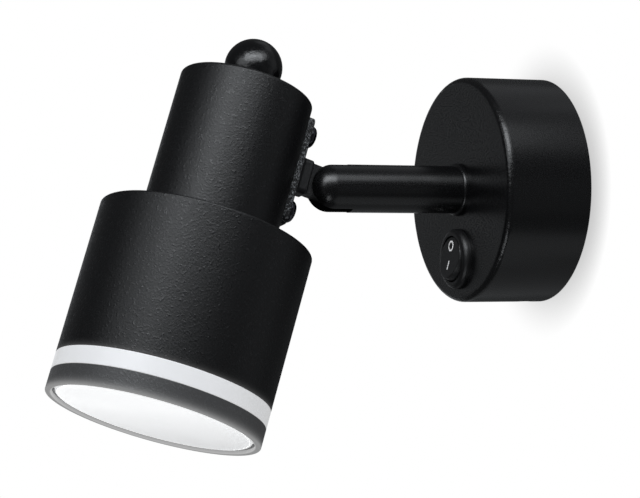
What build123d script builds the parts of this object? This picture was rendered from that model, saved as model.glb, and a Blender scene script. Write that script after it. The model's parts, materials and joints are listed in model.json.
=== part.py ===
from build123d import *
import math
import os

# Wall reading lamp: a round base with a rocker switch, a short swivelling arm and a tilting head.
# Millimetres. The wall is the plane Y = 0, the room lies towards -Y and +Z is up.
# The origin is the centre of the base on the wall.

# Clearances, and the bevel of every nut
RUN = 0.05            # running fit, radial and between turning faces
SLIP = 0.1            # slip fit between fixed pieces
ROOM = 0.3            # room for pieces that only pass through
NUT_BEVEL = 0.6       # share of a hexagon's corner that its bevel takes

# Base and wall strap
BASE_D = 88.0
BASE_DEPTH = 35.0
BASE_WALL = 1.5
BASE_EDGE_R = 2.5     # rounded front edge
STRAP_W = 16.0
STRAP_T = 1.5
TAB_DEPTH = 12.0      # the strap's bent ends
TAB_BEND_R = 1.0
WALL_SLOT_W = 4.5
WALL_SLOT_L = 10.0
WALL_SLOT_MARGIN = 3.9
STRAP_SCREW_D = 4.0
STRAP_SCREW_HEAD_D = 7.4
STRAP_SCREW_LAND = 0.3  # straight edge of the countersunk head
STRAP_SCREW_L = 7.0
STRAP_SCREW_UP = 7.0  # height of these screws above the wall
GROMMET_D = 12.0
GROMMET_BORE_D = 7.5
GROMMET_LIP = 1.6
BLOCK_POLES = 3
BLOCK_PITCH = 8.0
BLOCK_L = 16.6
BLOCK_H = 12.5
BLOCK_GROOVE_W = 1.4
BLOCK_GROOVE_DEPTH = 7.0
WIRE_ENTRY_D = 4.2
WIRE_ENTRY_UP = 5.2   # height of the wire holes in the block
CLAMP_SCREW_D = 3.4
CLAMP_SCREW_SINK = 1.0
BLOCK_SCREW_D = 2.6
BLOCK_SCREW_HEAD_D = 4.6
BLOCK_SCREW_HEAD_H = 1.8
EARTH_SCREW_D = 4.0
EARTH_SCREW_HEAD_D = 7.6
EARTH_SCREW_HEAD_H = 2.6
EARTH_WASHER_D = 10.0
EARTH_WASHER_T = 0.8
EARTH_MARGIN = 1.4    # strap left between grommet and earth washer

# Round rocker switch
SWITCH_BEZEL_D = 23.6
SWITCH_BEZEL_H = 3.0
SWITCH_BEZEL_R = 2.0
SWITCH_EDGE = 5.1     # face left between bezel and rim of the base
SWITCH_BODY_D = 19.9
SWITCH_BODY_L = 18.0
SWITCH_WINDOW_D = 18.2
ROCKER_SINK = 2.2     # rocker axis below the top of the bezel
ROCKER_THROW = 21.0   # degrees, from off to on
ROCKER_SLOPE = 4.1    # degrees, each half of the rocker rising from its middle
ROCKER_CENTRE_H = 2.8  # middle of the rocker above its axis
ROCKER_DEPTH = 3.5    # underside of the rocker below its axis
ROCKER_PIT = 2.0      # free depth under the rocker
TRUNNION_D = 2.4
TRUNNION_L = 1.1
SNAP_W = 6.0
SNAP_OUT = 0.7
SNAP_L = 5.0
BLADE_W = 4.8
BLADE_T = 0.8
BLADE_L = 8.0
BLADE_ROOT = 3.0      # length inside the switch
BLADE_HOLE_D = 1.6
BLADE_PITCH = 10.0

# Arm and its swivel in the base
ARM_D = 18.6
ARM_REACH = 54.5      # front of the base to the tilt pivot
COLLAR_T = 2.2
COLLAR_OVER = 1.0     # collar radius beyond the arm
WIRE_BORE_D = 6.4
NIPPLE_D = 10.0
NIPPLE_GRIP = 11.0    # length inside the arm
BUSH_WALL = 1.0
BUSH_FLANGE_D = 20.0
BUSH_FLANGE_T = 1.2
STOP_WASHER_D = 18.0
STOP_WASHER_T = 1.0
STOP_TAB_REACH = 15.0
STOP_TAB_W = 4.0
STOP_PIN_D = 3.0
STOP_PIN_L = 5.0
SPRING_WASHER_D = 16.0
SPRING_WASHER_T = 0.6
SPRING_WASHER_H = 1.3
LOCK_NUT_AF = 14.0
LOCK_NUT_H = 5.0
NIPPLE_OUT = 1.0      # thread standing out of the lock nut

# Tilt knuckle
TONGUE_T = 5.6
TONGUE_H = 12.2
FRICTION_WASHER_D = 11.6
FRICTION_WASHER_T = 0.6
SLOT_FLOOR_ROOM = 1.4
PIVOT_D = 5.0
PIVOT_HEAD_D = 7.4
PIVOT_HEAD_H = 2.2
PIVOT_HEAD_SINK = 0.9  # head below the arm's skin
PIVOT_THREAD_D = 4.0
PIVOT_THREAD_L = 3.6
DRIVER_SLOT_W = 1.0
DRIVER_SLOT_DEPTH = 0.9
KNUCKLE_ROOM = 0.6    # arm skin to the shoulder of the bracket
ROOT_H = 14.0
ROOT_W = 8.6
ROOT_FILLET = 1.4
ROOT_EDGE_R = 1.9
ROOT_FRONT_R = 0.8
STRIP_STANDOFF = 14.7  # pivot to the outer face of the strip
STRIP_T = 1.9
STRIP_W = 12.4
STRIP_L = 43.6
STRIP_RISE = 0.8      # middle of the strip above the pivot, head upright
STRIP_CORNER_R = 3.0
STRIP_EDGE_R = 0.4
BRACKET_SCREW_D = 4.0
BRACKET_SCREW_HEAD_D = 9.0
BRACKET_SCREW_HEAD_H = 3.1
BRACKET_SCREW_LAND = 0.81  # straight edge under the rounded head
BRACKET_SCREW_PITCH = 30.8
BRACKET_NUT_AF = 7.0
BRACKET_NUT_H = 3.2
CROSS_L = 4.6
CROSS_W = 1.0
CROSS_DEPTH = 1.4

# Head
CUP_D = 51.8
CUP_H = 58.4
CUP_RISE = 24.9       # top of the cup above the pivot, head upright
SHEET = 1.5           # wall of the cup, drum and trim ring
CUP_EDGE_R = 1.2
DRUM_H = 60.0
DRUM_EDGE_R = 0.8
LOCATING_RIM_H = 2.0
BAND_H = 6.8
BAND_LIP_T = 0.9
BAND_LIP_UP = 5.0
BAND_LIP_DOWN = 4.0
RING_H = 7.6
RING_RIM_W = 2.4
RING_RIM_T = 1.5
BALL_D = 22.3
BALL_FLAT_D = 12.6
ROD_D = 6.0
ROD_IN_BALL = 10.8
ROD_NUT_AF = 10.0
ROD_NUT_H = 5.0
ROD_END = 1.6         # thread standing out of the lowest nut
ROD_WASHER_D = 14.0
ROD_WASHER_T = 1.2
DRUM_WIRE_HOLE_D = 9.0

# Disc lamp with two pins, and its holder
DIFFUSER_D = 73.0
DIFFUSER_T = 1.6
DIFFUSER_CROWN = 0.5
LAMP_LIP_W = 1.0      # face of the lamp body round the diffuser
LAMP_D = DIFFUSER_D + 2 * LAMP_LIP_W
LAMP_ROOM = 1.0       # lamp to the inside of the acrylic band
LAMP_EDGE_R = 0.6
LAMP_SINK = 0.9       # face of the lamp above the lowest plane of the ring
LAMP_RIM_H = 13.6
LAMP_SHOULDER_H = 6.0
LAMP_SHOULDER_W = 6.5  # how far the shoulder slopes in
LAMP_HUB_D = 34.0
LAMP_HUB_H = 6.0
PIN_PITCH = 53.0
PIN_D = 3.2
PIN_NECK = 2.8
PIN_HEAD_D = 5.0
PIN_HEAD_H = 1.8
HOLDER_ROOM = 3.5     # holder to the inside of the drum
HOLDER_H = 13.7
HOLDER_EDGE_R = 2.4
HOLDER_LIP_T = 2.2    # lip that the pin heads hook behind
WELL_ROOM = 2.0       # round the hub of the lamp and the lowest nut
KEYHOLE_TURN = 24.0   # degrees of twist
BRIDGE_W = 16.0
BRIDGE_ROOM = 7.5     # ends of the bridge to the inside of the drum
BRIDGE_T = 1.2
HOLDER_SCREW_D = 3.5
HOLDER_SCREW_HEAD_D = 6.8
HOLDER_SCREW_HEAD_H = 2.2
HOLDER_SCREW_PITCH = 48.0
HOLDER_SCREW_OUT = 2.4

# Pose at rest
REST_SWIVEL = 9.4     # degrees, head swung about the arm
REST_TILT = 19.7      # degrees, head swung out from the wall

# Places that follow from the sizes above
base_r = BASE_D / 2
base_in_r = base_r - BASE_WALL
panel_z = BASE_DEPTH - BASE_WALL
tab_out = math.sqrt((base_in_r - ROOM) ** 2 - (STRAP_W / 2) ** 2)
tab_in = tab_out - STRAP_T
grommet_lip_r = GROMMET_D / 2 + GROMMET_LIP
block_y = grommet_lip_r + ROOM + BLOCK_L / 2
block_top = STRAP_T + BLOCK_H
earth_y = -(grommet_lip_r + EARTH_MARGIN + EARTH_WASHER_D / 2)
wall_slot_y = round(tab_in - WALL_SLOT_MARGIN - WALL_SLOT_L / 2)
switch_drop = base_r - SWITCH_BEZEL_D / 2 - SWITCH_EDGE
rocker_axis_z = BASE_DEPTH + SWITCH_BEZEL_H - ROCKER_SINK
arm_r = ARM_D / 2
arm_start = BASE_DEPTH + COLLAR_T
pivot_z = BASE_DEPTH + ARM_REACH
bush_r = NIPPLE_D / 2 + RUN + BUSH_WALL
stop_washer_z = panel_z - BUSH_FLANGE_T - RUN - STOP_WASHER_T
lock_nut_z = stop_washer_z - SPRING_WASHER_H - LOCK_NUT_H
nipple_start = lock_nut_z - NIPPLE_OUT
tongue_r = TONGUE_H / 2
slot_w = TONGUE_T + 2 * FRICTION_WASHER_T + 4 * RUN
slot_floor = tongue_r + SLOT_FLOOR_ROOM
shoulder_y = arm_r + KNUCKLE_ROOM
cup_r = CUP_D / 2
strip_seat_r = cup_r + SLIP
strip_wrap = strip_seat_r - math.sqrt(strip_seat_r ** 2 - (STRIP_W / 2) ** 2)
head_y = STRIP_STANDOFF + STRIP_T + strip_seat_r
cup_in_r = cup_r - SHEET
band_in_r = LAMP_D / 2 + LAMP_ROOM
drum_in_r = band_in_r + BAND_LIP_T + SLIP
drum_r = drum_in_r + SHEET
cup_top = CUP_RISE
drum_top = cup_top - CUP_H
drum_low = drum_top - DRUM_H
band_low = drum_low - BAND_H
ring_low = band_low - RING_H
lamp_face = ring_low + LAMP_SINK
lamp_back = lamp_face + LAMP_RIM_H + LAMP_SHOULDER_H
lamp_back_r = LAMP_D / 2 - LAMP_SHOULDER_W
holder_low = lamp_back + ROOM
holder_top = holder_low + HOLDER_H
bridge_top = holder_top + BRIDGE_T
pin_top = lamp_back + PIN_NECK + PIN_HEAD_H
ball_r = BALL_D / 2
ball_z = cup_top + math.sqrt(ball_r ** 2 - (BALL_FLAT_D / 2) ** 2)
rod_top = cup_top + ROD_IN_BALL
rod_low = holder_top - ROD_NUT_H - ROD_END

# Frames: local +z of the base and arm points out of the wall, local y is up;
# the head is drawn upright about its pivot, wall towards +y, and then tilted and swung
FROM_WALL = Location(Plane(origin=(0, 0, 0), x_dir=(1, 0, 0), z_dir=(0, -1, 0)))
AT_SWITCH = FROM_WALL * Pos(0, -switch_drop, 0)
SWUNG = Rot(0, -REST_SWIVEL, 0)
ON_ARM = SWUNG * FROM_WALL
ON_PIVOT = SWUNG * Pos(0, -pivot_z, 0) * Rot(-REST_TILT, 0, 0)
ON_HEAD = ON_PIVOT * Pos(0, -head_y, 0)
UP = (Align.CENTER, Align.CENTER, Align.MIN)


def rod(diameter, low, high):
    """Round bar along z."""
    return Pos(0, 0, low) * Cylinder(diameter / 2, high - low, align=UP)


def tube(outer_d, inner_d, low, high):
    """Round tube along z."""
    return rod(outer_d, low, high) - rod(inner_d, low, high)


def turned(*outline):
    """Solid of revolution about z from (radius, height) corners."""
    return revolve(Plane.XZ * make_face(Polyline(*outline, close=True)), Axis.Z)


def hex_nut(across_flats, bore_d, low, height):
    """Hexagon nut with chamfered corners."""
    prism = extrude(RegularPolygon(across_flats / 2, 6, major_radius=False), height)
    corner_r = across_flats / math.sqrt(3)
    bevel = (corner_r - across_flats / 2) * NUT_BEVEL
    outer = turned((0, 0), (corner_r - bevel, 0), (corner_r, bevel),
                   (corner_r, height - bevel), (corner_r - bevel, height), (0, height))
    return Pos(0, 0, low) * ((prism & outer) - rod(bore_d, 0, height))


def rim_at(solid, highest=True):
    """The widest edge of the top, or of the bottom, of a solid."""
    level = solid.edges().group_by(Axis.Z)[-1 if highest else 0]
    return level.sort_by(SortBy.LENGTH)[-1]


def cross_recess(top):
    """Cross for a screwdriver, sunk from a flat or domed top."""
    blade = Box(CROSS_L, CROSS_W, 2 * CROSS_DEPTH)
    return Pos(0, 0, top) * (blade + Rot(0, 0, 90) * blade)


def group(shapes):
    return Compound(children=list(shapes))


# Base

def strap_screw_places():
    """Frames of the two screws through the rim, local z pointing outwards."""
    return [Pos(0, side * base_r, STRAP_SCREW_UP) * Rot(-side * 90, 0, 0) for side in (1, -1)]


def strap_screw(grow=0.0, reach=0.0):
    """Countersunk screw whose head lies just under the round skin; grow and reach make it its hole."""
    head_r = STRAP_SCREW_HEAD_D / 2 + grow
    shank_r = STRAP_SCREW_D / 2 + grow
    top = math.sqrt(base_r ** 2 - head_r ** 2) - base_r
    cone_top = top - STRAP_SCREW_LAND
    cone_low = cone_top - (head_r - shank_r)
    return turned((0, -STRAP_SCREW_L), (shank_r, -STRAP_SCREW_L), (shank_r, cone_low),
                  (head_r, cone_top), (head_r, top + reach), (0, top + reach))


def make_base_cup():
    """Spun cup, open to the wall, with a rounded front edge."""
    shell = fillet(rim_at(rod(BASE_D, 0, BASE_DEPTH)), BASE_EDGE_R)
    hollow = fillet(rim_at(rod(2 * base_in_r, 0, panel_z)), BASE_EDGE_R / 2)
    cup = shell - hollow - rod(2 * (bush_r + SLIP), 0, BASE_DEPTH)
    cup -= Pos(0, -switch_drop, 0) * rod(SWITCH_BODY_D + 2 * SLIP, 0, BASE_DEPTH)
    for place in strap_screw_places():
        cup -= place * strap_screw(SLIP, BASE_WALL)
    return cup


def make_wall_strap():
    """Flat bar with both ends bent forward, two wall slots, a cable hole and tapped holes."""
    outline = Polyline((-tab_out, TAB_DEPTH), (-tab_out, 0), (tab_out, 0), (tab_out, TAB_DEPTH),
                       (tab_in, TAB_DEPTH), (tab_in, STRAP_T), (-tab_in, STRAP_T),
                       (-tab_in, TAB_DEPTH), close=True)
    section = make_face(outline)
    section = fillet(section.vertices().group_by(Axis.Y)[0], TAB_BEND_R + STRAP_T)
    inner_corners = section.vertices().filter_by(
        lambda v: abs(v.Y - STRAP_T) < RUN and abs(abs(v.X) - tab_in) < RUN)
    section = fillet(inner_corners, TAB_BEND_R)
    bar = extrude(Plane.YZ * section, STRAP_W / 2, both=True)
    wall_slot = extrude(Rot(0, 0, 90) * SlotOverall(WALL_SLOT_L, WALL_SLOT_W), STRAP_T)
    bar -= [Pos(0, side * wall_slot_y, 0) * wall_slot for side in (1, -1)]
    bar -= rod(GROMMET_D + 2 * SLIP, 0, STRAP_T)
    bar -= Pos(0, earth_y, 0) * rod(EARTH_SCREW_D + 2 * SLIP, 0, STRAP_T)
    bar -= Pos(BLOCK_PITCH / 2, block_y, 0) * rod(BLOCK_SCREW_D + 2 * SLIP, 0, STRAP_T)
    for place in strap_screw_places():
        bar -= place * rod(STRAP_SCREW_D + 2 * SLIP, -STRAP_SCREW_L - ROOM, 0)
    return bar


def make_strap_screws():
    return group(place * strap_screw() for place in strap_screw_places())


def make_cable_grommet():
    """Rubber ring that lines the cable hole of the strap, with a bevelled lip in front."""
    bore_r = GROMMET_BORE_D / 2
    neck_r = GROMMET_D / 2
    lip_low = STRAP_T + RUN
    lip_top = lip_low + GROMMET_LIP
    return turned((bore_r, 0), (neck_r, 0), (neck_r, lip_low), (grommet_lip_r, lip_low),
                  (grommet_lip_r - GROMMET_LIP / 2, lip_top), (bore_r, lip_top))


def pole_places():
    return [(k - (BLOCK_POLES - 1) / 2) * BLOCK_PITCH for k in range(BLOCK_POLES)]


def clamp_places():
    """The two clamping screws of every pole."""
    return [Pos(x, block_y + side * BLOCK_L / 4, 0) for x in pole_places() for side in (1, -1)]


def make_terminal_block():
    """Row of barrels, each with a wire hole through it and two screw wells on top."""
    length = BLOCK_POLES * BLOCK_PITCH
    block = Pos(0, block_y, STRAP_T) * Box(length, BLOCK_L, BLOCK_H, align=UP)
    groove = Box(BLOCK_GROOVE_W, BLOCK_L, 2 * BLOCK_GROOVE_DEPTH)
    for k in range(1, BLOCK_POLES):
        block -= Pos(k * BLOCK_PITCH - length / 2, block_y, block_top) * groove
    wire_z = STRAP_T + WIRE_ENTRY_UP
    for x in pole_places():
        block -= Pos(x, block_y, wire_z) * Rot(90, 0, 0) * Cylinder(WIRE_ENTRY_D / 2, BLOCK_L)
    block -= [place * rod(CLAMP_SCREW_D + 2 * SLIP, wire_z, block_top) for place in clamp_places()]
    fixing = rod(BLOCK_SCREW_D + 2 * SLIP, STRAP_T, block_top)
    seat = block_top - BLOCK_GROOVE_DEPTH
    fixing += rod(BLOCK_SCREW_HEAD_D + 2 * SLIP, seat, block_top)
    return block - Pos(BLOCK_PITCH / 2, block_y, 0) * fixing


def slotted(head, diameter, top):
    """Cut a plain driver slot into the top of a screw head."""
    return head - Pos(0, 0, top) * Box(diameter, DRIVER_SLOT_W, 2 * DRIVER_SLOT_DEPTH)


def make_clamp_screws():
    low = STRAP_T + WIRE_ENTRY_UP + WIRE_ENTRY_D / 2
    high = block_top - CLAMP_SCREW_SINK
    return group(place * slotted(rod(CLAMP_SCREW_D, low, high), CLAMP_SCREW_D, high)
                 for place in clamp_places())


def make_block_screw():
    seat = block_top - BLOCK_GROOVE_DEPTH
    top = seat + BLOCK_SCREW_HEAD_H
    screw = rod(BLOCK_SCREW_D, 0, seat) + rod(BLOCK_SCREW_HEAD_D, seat, top)
    return Pos(BLOCK_PITCH / 2, block_y, 0) * slotted(screw, BLOCK_SCREW_HEAD_D, top)


def make_earth_screw():
    seat = STRAP_T + EARTH_WASHER_T
    top = seat + EARTH_SCREW_HEAD_H
    screw = rod(EARTH_SCREW_D, 0, seat) + rod(EARTH_SCREW_HEAD_D, seat, top)
    return Pos(0, earth_y, 0) * slotted(screw, EARTH_SCREW_HEAD_D, top)


def make_earth_washer():
    ring = tube(EARTH_WASHER_D, EARTH_SCREW_D + 2 * SLIP, STRAP_T, STRAP_T + EARTH_WASHER_T)
    return Pos(0, earth_y, 0) * ring


# Switch

rocker_r = SWITCH_WINDOW_D / 2 - ROOM
switch_back = BASE_DEPTH - SWITCH_BODY_L


def blade_places():
    return [Pos(0, side * BLADE_PITCH / 2, switch_back) for side in (1, -1)]


def make_switch_body():
    """Bezel with a rolled edge and a round housing behind the panel, held by two snap wings."""
    bezel_top = BASE_DEPTH + SWITCH_BEZEL_H
    body = fillet(rim_at(rod(SWITCH_BEZEL_D, BASE_DEPTH, bezel_top)), SWITCH_BEZEL_R)
    body += rod(SWITCH_BODY_D, switch_back, BASE_DEPTH)
    body_r = SWITCH_BODY_D / 2
    wing_top = panel_z - RUN
    wing = Polyline((body_r - SNAP_OUT, wing_top - SNAP_L), (body_r + SNAP_OUT, wing_top),
                    (body_r - SNAP_OUT, wing_top), close=True)
    wing = extrude(Plane.XZ * make_face(wing), SNAP_W / 2, both=True)
    body += [wing, Rot(0, 0, 180) * wing]
    body -= rod(SWITCH_WINDOW_D, rocker_axis_z - ROCKER_DEPTH - ROCKER_PIT, bezel_top)
    trunnion_reach = rocker_r + TRUNNION_L + ROOM
    body -= Pos(0, 0, rocker_axis_z) * Rot(0, 90, 0) * rod(
        TRUNNION_D + 2 * RUN, -trunnion_reach, trunnion_reach)
    pocket = Box(BLADE_W + 2 * SLIP, BLADE_T + 2 * SLIP, BLADE_ROOT, align=UP)
    return body - [place * pocket for place in blade_places()]


def make_switch_blades():
    """Push-on terminals at the back of the switch."""
    blade = Pos(0, 0, -BLADE_L) * Box(BLADE_W, BLADE_T, BLADE_L + BLADE_ROOT, align=UP)
    blade -= Pos(0, 0, -BLADE_L / 2) * Rot(90, 0, 0) * Cylinder(BLADE_HOLE_D / 2, 2 * BLADE_T)
    return group(place * blade for place in blade_places())


def make_switch_rocker():
    """Round rocker: a ball about its axis, hollowed to a shallow V on top, with two trunnions."""
    end_h = ROCKER_CENTRE_H + rocker_r * math.tan(math.radians(ROCKER_SLOPE))
    side = Polyline((-rocker_r, -ROCKER_DEPTH), (rocker_r, -ROCKER_DEPTH), (rocker_r, end_h),
                    (0, ROCKER_CENTRE_H), (-rocker_r, end_h), close=True)
    rocker = Sphere(rocker_r) & extrude(Plane.YZ * make_face(side), rocker_r, both=True)
    trunnion_end = rocker_r + TRUNNION_L
    rocker += Rot(0, 90, 0) * rod(TRUNNION_D, -trunnion_end, trunnion_end)
    return Pos(0, 0, rocker_axis_z) * Rot(-ROCKER_THROW / 2, 0, 0) * rocker


# Arm and swivel

def make_swivel_bush():
    """Flanged sleeve that lines the hole in the front of the base."""
    bore = NIPPLE_D + 2 * RUN
    sleeve = tube(2 * bush_r, bore, panel_z - BUSH_FLANGE_T, BASE_DEPTH)
    return sleeve + tube(BUSH_FLANGE_D, bore, panel_z - BUSH_FLANGE_T, panel_z)


def make_stop_pin():
    """Pin behind the front of the base that ends the swivel."""
    place = Pos(0, STOP_TAB_REACH - STOP_PIN_D / 2 - ROOM, 0)
    return place * rod(STOP_PIN_D, panel_z - STOP_PIN_L, panel_z)


def make_arm_collar():
    ring = rod(2 * (arm_r + COLLAR_OVER), BASE_DEPTH + RUN, arm_start)
    ring = fillet(rim_at(ring), COLLAR_T / 2)
    return ring - rod(NIPPLE_D + 2 * RUN, BASE_DEPTH, arm_start)


def make_arm_nipple():
    return tube(NIPPLE_D, WIRE_BORE_D, nipple_start, arm_start + NIPPLE_GRIP)


def make_stop_washer():
    """Washer with a tab that meets the stop pin at both ends of the swivel."""
    top = stop_washer_z + STOP_WASHER_T
    tab = Pos(0, -STOP_TAB_REACH / 2, stop_washer_z) * Box(
        STOP_TAB_W, STOP_TAB_REACH, STOP_WASHER_T, align=UP)
    return rod(STOP_WASHER_D, stop_washer_z, top) + tab - rod(NIPPLE_D + 2 * RUN, stop_washer_z, top)


def make_spring_washer():
    """Coned disc spring between the stop washer and the lock nut."""
    inner_r = NIPPLE_D / 2 + SLIP
    outer_r = SPRING_WASHER_D / 2
    low = stop_washer_z - SPRING_WASHER_H
    return turned((inner_r, low), (outer_r, stop_washer_z - SPRING_WASHER_T),
                  (outer_r, stop_washer_z), (inner_r, low + SPRING_WASHER_T))


def make_lock_nut():
    return hex_nut(LOCK_NUT_AF, NIPPLE_D + 2 * RUN, lock_nut_z, LOCK_NUT_H)


# Tilt knuckle

pivot_head_x = arm_r - PIVOT_HEAD_SINK
pivot_seat_x = pivot_head_x - PIVOT_HEAD_H
root_fillet = min(ROOT_FILLET, (STRIP_W - ROOT_W) / 2 - STRIP_EDGE_R - RUN)
ALONG_PIVOT = Rot(0, 90, 0)


def make_arm_bar():
    """Round bar with a bullet tip, slotted for the tongue, bored for the flex and the nipple."""
    bar = rod(ARM_D, arm_start, pivot_z) + Pos(0, 0, pivot_z) * Sphere(arm_r)
    bar -= Pos(0, 0, pivot_z - slot_floor) * Box(slot_w, 2 * ARM_D, 2 * ARM_D, align=UP)
    bar -= rod(WIRE_BORE_D, arm_start, pivot_z)
    bar -= rod(NIPPLE_D + 2 * RUN, arm_start, arm_start + NIPPLE_GRIP + ROOM)
    holes = rod(PIVOT_D + 2 * RUN, -arm_r, 0)
    holes += rod(PIVOT_HEAD_D + 2 * SLIP, -ARM_D, -pivot_seat_x)
    holes += rod(PIVOT_THREAD_D + 2 * RUN, 0, slot_w / 2 + PIVOT_THREAD_L + ROOM)
    return bar - Pos(0, 0, pivot_z) * ALONG_PIVOT * holes


def make_pivot_screw():
    """Shoulder screw from the far cheek, threaded into the near one."""
    shoulder_end = slot_w / 2 - RUN
    screw = rod(PIVOT_HEAD_D, -pivot_head_x, -pivot_seat_x)
    screw = slotted(screw, PIVOT_HEAD_D, -pivot_head_x)
    screw += rod(PIVOT_D, -pivot_seat_x, shoulder_end)
    screw += rod(PIVOT_THREAD_D, shoulder_end, slot_w / 2 + PIVOT_THREAD_L)
    return Pos(0, 0, pivot_z) * ALONG_PIVOT * screw


def make_friction_washers():
    inner = TONGUE_T / 2 + RUN
    ring = tube(FRICTION_WASHER_D, PIVOT_D + 2 * SLIP, inner, inner + FRICTION_WASHER_T)
    return group(Pos(0, 0, pivot_z) * Rot(0, side * 90, 0) * ring for side in (1, -1))


def bracket_screw_places():
    """Frames on the outer face of the strip, local z pointing away from the cup."""
    return [Pos(0, -STRIP_STANDOFF, STRIP_RISE + side * BRACKET_SCREW_PITCH / 2) * Rot(-90, 0, 0)
            for side in (1, -1)]


def make_tilt_bracket():
    """Casting: a strip hollowed to the back of the cup, a filleted shoulder and the knuckle's tongue."""
    strip_depth = STRIP_T + strip_wrap
    strip = Pos(0, -STRIP_STANDOFF - strip_depth / 2, STRIP_RISE) * Box(STRIP_W, strip_depth, STRIP_L)
    strip = fillet(strip.edges().filter_by(Axis.Y), STRIP_CORNER_R)
    strip = fillet(strip.faces().sort_by(Axis.Y)[-1].edges(), STRIP_EDGE_R)
    strip -= Pos(0, -head_y, STRIP_RISE) * rod(2 * strip_seat_r, -STRIP_L, STRIP_L)
    root_l = STRIP_STANDOFF - shoulder_y
    root = Pos(0, -shoulder_y - root_l / 2, 0) * Box(ROOT_W, root_l, ROOT_H)
    root = fillet(root.edges().filter_by(Axis.Y), ROOT_EDGE_R)
    root = fillet(root.faces().sort_by(Axis.Y)[-1].edges(), ROOT_FRONT_R)
    bracket = strip + root
    seam = bracket.edges().filter_by_position(
        Axis.Y, -STRIP_STANDOFF - RUN, -STRIP_STANDOFF + RUN).filter_by(
        lambda e: abs(e.center().X) < ROOT_W / 2 + RUN and abs(e.center().Z) < ROOT_H / 2 + RUN)
    bracket = fillet(seam, root_fillet)
    tongue = Circle(tongue_r) + Pos(-(shoulder_y + root_l / 2) / 2, 0) * Rectangle(
        shoulder_y + root_l / 2, TONGUE_H)
    bracket += extrude(Plane.YZ * tongue, TONGUE_T / 2, both=True)
    bracket -= ALONG_PIVOT * rod(PIVOT_D + 2 * RUN, -TONGUE_T, TONGUE_T)
    hole = rod(BRACKET_SCREW_D + 2 * SLIP, -strip_depth, 0)
    return bracket - [place * hole for place in bracket_screw_places()]


# The nut's corners touch the round inside of the cup
nut_corner_r = BRACKET_NUT_AF / math.sqrt(3)
nut_face = -(STRIP_T + SLIP + cup_r - math.sqrt(cup_in_r ** 2 - nut_corner_r ** 2) + RUN)
nut_low = nut_face - BRACKET_NUT_H


def make_bracket_screws():
    """Pan-head screws with a cross recess."""
    head = rod(BRACKET_SCREW_HEAD_D, 0, BRACKET_SCREW_HEAD_H)
    head = fillet(rim_at(head), BRACKET_SCREW_HEAD_H - BRACKET_SCREW_LAND)
    screw = head - cross_recess(BRACKET_SCREW_HEAD_H) + rod(BRACKET_SCREW_D, nut_low - ROOM, 0)
    return group(place * screw for place in bracket_screw_places())


def make_bracket_nuts():
    nut = hex_nut(BRACKET_NUT_AF, BRACKET_SCREW_D + 2 * RUN, nut_low, BRACKET_NUT_H)
    return group(place * nut for place in bracket_screw_places())


# Head

def make_head_cup():
    """Deep-drawn cup, closed on top, standing on the drum."""
    cup = fillet(rim_at(rod(CUP_D, drum_top, cup_top)), CUP_EDGE_R)
    cup -= rod(2 * cup_in_r, drum_top, cup_top - SHEET)
    cup -= rod(ROD_D + 2 * SLIP, drum_top, cup_top)
    hole = Rot(-90, 0, 0) * rod(BRACKET_SCREW_D + 2 * SLIP, cup_in_r - SHEET, cup_r + SHEET)
    return cup - [Pos(0, 0, STRIP_RISE + side * BRACKET_SCREW_PITCH / 2) * hole for side in (1, -1)]


def make_ball_finial():
    """Ball nut on the end of the tie rod, flat where it presses on the cup."""
    ball = Pos(0, 0, ball_z) * Sphere(ball_r)
    ball -= rod(2 * BALL_D, cup_top - BALL_D, cup_top)
    return ball - rod(ROD_D + 2 * RUN, cup_top, rod_top + ROOM)


def make_tie_rod():
    return rod(ROD_D, rod_low, rod_top)


def make_rod_nuts():
    under_drum = drum_top - SHEET - ROD_WASHER_T - ROD_NUT_H
    levels = (under_drum, bridge_top, holder_top - ROD_NUT_H)
    return group(hex_nut(ROD_NUT_AF, ROD_D + 2 * RUN, low, ROD_NUT_H) for low in levels)


def make_rod_washer():
    top = drum_top - SHEET
    return tube(ROD_WASHER_D, ROD_D + 2 * SLIP, top - ROD_WASHER_T, top)


def make_shade_drum():
    """Deep-drawn drum with a flat top, a rim that centres the cup and holes for rod and flex."""
    drum = fillet(rim_at(rod(2 * drum_r, drum_low, drum_top)), DRUM_EDGE_R)
    drum -= rod(2 * drum_in_r, drum_low, drum_top - SHEET)
    rim_r = cup_in_r - SLIP
    drum += tube(2 * rim_r, 2 * (rim_r - SHEET), drum_top, drum_top + LOCATING_RIM_H)
    drum -= rod(ROD_D + 2 * SLIP, drum_low, drum_top)
    return drum - Pos(cup_in_r / 2, 0, 0) * rod(DRUM_WIRE_HOLE_D, drum_low, drum_top)


def make_acrylic_band():
    """Milky ring with a lip up into the drum and a lip down into the trim ring."""
    lip_r = band_in_r + BAND_LIP_T
    lip_top = drum_low + BAND_LIP_UP
    lip_low = band_low - BAND_LIP_DOWN
    return turned((band_in_r, lip_low), (lip_r, lip_low), (lip_r, band_low), (drum_r, band_low),
                  (drum_r, drum_low), (lip_r, drum_low), (lip_r, lip_top), (band_in_r, lip_top))


def make_trim_ring():
    """Ring of angle section: a wall round the lip of the band and a rim under the lamp."""
    rim_r = drum_r - RING_RIM_W
    rim_top = ring_low + RING_RIM_T
    return turned((rim_r, ring_low), (drum_r, ring_low), (drum_r, band_low), (drum_in_r, band_low),
                  (drum_in_r, rim_top), (rim_r, rim_top))


def make_holder_bridge():
    """Flat strip across the drum that the rod carries and the holder hangs from."""
    strip = SlotOverall(2 * (drum_in_r - BRIDGE_ROOM), BRIDGE_W) - Circle(ROD_D / 2 + SLIP)
    strip -= [Pos(side * HOLDER_SCREW_PITCH / 2, 0) * Circle(HOLDER_SCREW_D / 2 + SLIP)
              for side in (1, -1)]
    return Pos(0, 0, holder_top) * Rot(0, 0, 90) * extrude(strip, BRIDGE_T)


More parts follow.
